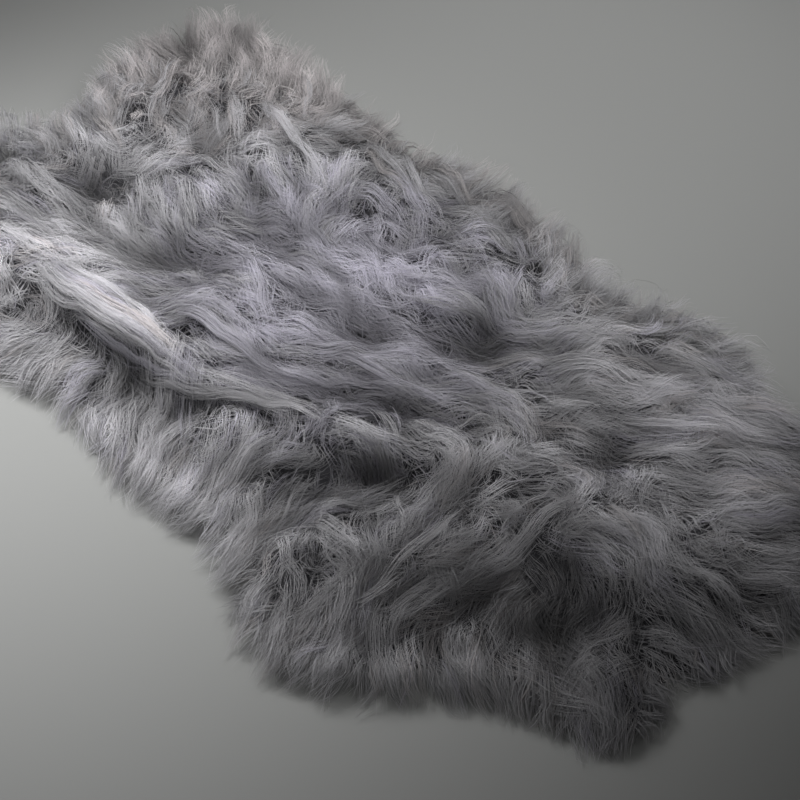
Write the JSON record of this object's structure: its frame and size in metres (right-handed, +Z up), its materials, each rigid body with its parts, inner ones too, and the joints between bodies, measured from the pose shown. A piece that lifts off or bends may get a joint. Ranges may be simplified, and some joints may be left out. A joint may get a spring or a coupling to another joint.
{
  "type": "sheepskin rug",
  "caption": "Long-wool sheepskin rug lying flat: one hide with its own grey wool, lobed at both ends, with tapering locks of wool round its rim.",
  "frame": {"origin": "on the floor, under the middle of the rug's box", "axes": "+Z up out of the pile, +X along the spine towards the broader end, +Y across the skin"},
  "size_m": [1.2162, 0.7036, 0.0859],
  "materials": {
    "wool": "long silky grey sheep's wool lying in wavy locks, with paler crests and near-black partings",
    "hide": "suede-finished tanned hide, pale grey, on the underside"
  },
  "bodies": {
    "root": {"sheepskin": "wool"}
  },
  "joints": []
}
